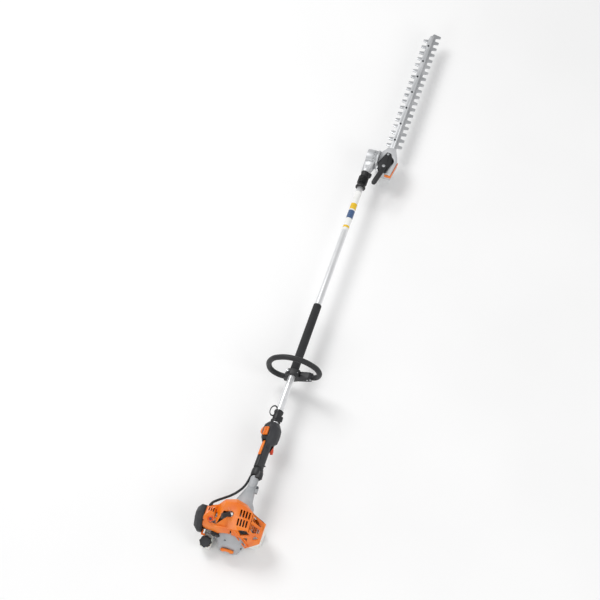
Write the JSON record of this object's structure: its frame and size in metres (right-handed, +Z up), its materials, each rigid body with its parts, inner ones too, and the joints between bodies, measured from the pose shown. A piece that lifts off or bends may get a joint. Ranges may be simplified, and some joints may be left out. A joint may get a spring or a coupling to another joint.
{
  "type": "pole hedge trimmer",
  "caption": "Long-reach petrol hedge trimmer: rear engine, straight pole with control handle, loop handle and foam grip, and a swivelling head with a double-sided reciprocating blade.",
  "frame": {"origin": "middle of the underside of the foot below the engine, on the ground", "axes": "+Y along the pole towards the blade, +X to the right seen from the engine, +Z up"},
  "size_m": [0.2614, 2.4685, 0.2222],
  "materials": {
    "orange_plastic": "moulded orange nylon, satin",
    "red_plastic": "moulded red-orange nylon, satin",
    "black_plastic": "moulded black nylon, fine grain",
    "dark_plastic": "moulded dark grey nylon, fine grain",
    "grey_plastic": "moulded light grey nylon, fine grain",
    "tank_plastic": "translucent white polyethylene",
    "rubber": "black rubber, matt",
    "foam": "closed-cell black foam",
    "cast_aluminium": "die-cast and blasted",
    "tube_aluminium": "drawn and anodised tube",
    "blade_steel": "ground spring steel",
    "dark_steel": "machined and oiled steel",
    "bearing_steel": "polished steel",
    "felt": "filter felt"
  },
  "bodies": {
    "machine": {"engine_shroud": "orange_plastic", "muffler_guard": "orange_plastic", "ignition_module": "black_plastic", "filter_base": "black_plastic", "filter_cover": "black_plastic", "handle_left_shell": "black_plastic", "handle_collar": "black_plastic", "hanger": "black_plastic", "loop_clamp_lower": "black_plastic", "loop_clamp_upper": "black_plastic", "handle_right_shell": "dark_plastic", "starter_housing": "grey_plastic", "tank_foot": "grey_plastic", "fuel_tank": "tank_plastic", "plug_boot": "rubber", "throttle_cable": "rubber", "shaft_bushing": "rubber", "loop_handle": "rubber", "foam_grip": "foam", "crankcase": "cast_aluminium", "cylinder": "cast_aluminium", "carburetor": "cast_aluminium", "clutch_housing": "cast_aluminium", "gear_housing": "cast_aluminium", "drive_tube": "tube_aluminium", "muffler": "dark_steel", "clamp_screw": "dark_steel", "crank_bearing_rear": "bearing_steel", "crank_bearing_front": "bearing_steel", "spark_plug": "bearing_steel", "filter_element": "felt"},
    "crank": {"crank_half_rear": "dark_steel", "crank_half_front": "dark_steel", "flywheel_fan": "cast_aluminium", "clutch_shoes": "dark_steel"},
    "piston": {"piston": "cast_aluminium", "connecting_rod": "dark_steel"},
    "drive": {"clutch_drum": "dark_steel", "drive_shaft": "dark_steel", "bevel_pinion": "dark_steel"},
    "swivel_shaft": {"swivel_shaft": "dark_steel"},
    "cutter_head": {"blade_gear_housing": "cast_aluminium", "gear_cover": "black_plastic", "adjusting_handle": "black_plastic", "bumper_strip": "orange_plastic", "blade_bar": "blade_steel"},
    "crank_gear": {"crank_gear": "dark_steel"},
    "upper_blade": {"upper_blade": "blade_steel"},
    "lower_blade": {"lower_blade": "blade_steel"},
    "sleeve": {"sliding_sleeve": "black_plastic"},
    "trigger": {"throttle_trigger": "red_plastic"},
    "lock": {"trigger_lock": "orange_plastic"},
    "wheel": {"speed_wheel": "orange_plastic"},
    "button": {"stop_button": "orange_plastic"},
    "grip": {"starter_grip": "orange_plastic", "starter_rope": "rubber"},
    "pulley": {"starter_pulley": "black_plastic"},
    "choke": {"choke_lever": "orange_plastic"},
    "primer": {"primer_bulb": "rubber"},
    "cap": {"fuel_cap": "black_plastic"}
  },
  "joints": [
    {"name": "blade_swivel", "type": "hinge", "parent": "machine", "child": "cutter_head", "pos_m": [0, 1.655, 0.095], "axis": [1, 0, 0], "range_deg": [-90, 55]},
    {"name": "sleeve_slide", "type": "slide", "parent": "machine", "child": "sleeve", "axis": [0, -1, 0], "range_m": [0, 0.012], "stiffness_N_per_m": 600, "springref_m": -0.01},
    {"name": "trigger_squeeze", "type": "hinge", "parent": "machine", "child": "trigger", "pos_m": [0.01147, 0.338, 0.07862], "axis": [-0.8192, 0, -0.5736], "range_deg": [0, 14], "stiffness_Nm_per_rad": 0.4, "springref_deg": -8.59},
    {"name": "lock_press", "type": "hinge", "parent": "machine", "child": "lock", "pos_m": [-0.01032, 0.322, 0.10974], "axis": [0.8192, 0, 0.5736], "range_deg": [0, 4.5], "stiffness_Nm_per_rad": 0.6, "springref_deg": -8.59},
    {"name": "speed_wheel_turn", "type": "hinge", "parent": "machine", "child": "wheel", "pos_m": [-0.024, 0.368, 0.10139], "axis": [-0.5736, 0, 0.8192], "range_deg": [0, 90]},
    {"name": "stop_press", "type": "slide", "parent": "machine", "child": "button", "axis": [0.5736, 0, -0.8192], "range_m": [0, 0.0025], "stiffness_N_per_m": 800, "springref_m": -0.002},
    {"name": "starter_pull", "type": "slide", "parent": "machine", "child": "grip", "axis": [0, -1, 0], "range_m": [0, 0.75], "stiffness_N_per_m": 15, "springref_m": -0.2},
    {"name": "pulley_spin", "type": "hinge", "parent": "machine", "child": "pulley", "pos_m": [0, -0.065, 0.095], "axis": [0, 1, 0], "range_deg": [0, 2300]},
    {"name": "crank_spin", "type": "hinge", "parent": "machine", "child": "crank", "pos_m": [0, 0.016, 0.095], "axis": [0, 1, 0], "continuous": true},
    {"name": "piston_stroke", "type": "slide", "parent": "machine", "child": "piston", "axis": [0, 0, -1], "range_m": [0, 0.024]},
    {"name": "drive_spin", "type": "hinge", "parent": "machine", "child": "drive", "pos_m": [0, 0.07, 0.095], "axis": [0, 1, 0], "continuous": true},
    {"name": "swivel_shaft_spin", "type": "hinge", "parent": "machine", "child": "swivel_shaft", "pos_m": [0, 1.655, 0.095], "axis": [1, 0, 0], "continuous": true},
    {"name": "crank_gear_spin", "type": "hinge", "parent": "cutter_head", "child": "crank_gear", "pos_m": [0.07, 1.655, 0.08], "axis": [0, 0, 1], "continuous": true},
    {"name": "upper_blade_stroke", "type": "slide", "parent": "cutter_head", "child": "upper_blade", "axis": [0, 1, 0], "range_m": [-0.0085, 0.0085]},
    {"name": "lower_blade_stroke", "type": "slide", "parent": "cutter_head", "child": "lower_blade", "axis": [0, 1, 0], "range_m": [-0.0085, 0.0085]},
    {"name": "choke_turn", "type": "hinge", "parent": "machine", "child": "choke", "pos_m": [-0.1155, -0.06, 0.073], "axis": [-1, 0, 0], "range_deg": [0, 30]},
    {"name": "primer_press", "type": "slide", "parent": "machine", "child": "primer", "axis": [0, 1, 0], "range_m": [0, 0.004], "stiffness_N_per_m": 400, "springref_m": -0.002},
    {"name": "fuel_cap_turn", "type": "hinge", "parent": "machine", "child": "cap", "pos_m": [-0.097, -0.08, 0.038], "axis": [-0.0801, -0.5506, 0.8309], "range_deg": [0, 270]}
  ],
  "couplings": [
    {"joint": "pulley_spin", "follows": "starter_pull", "rad_per_m": 52.632},
    {"joint": "swivel_shaft_spin", "follows": "drive_spin", "ratio": 0.75},
    {"joint": "crank_gear_spin", "follows": "drive_spin", "ratio": -0.45},
    {"joint": "lower_blade_stroke", "follows": "upper_blade_stroke", "ratio": -1}
  ]
}
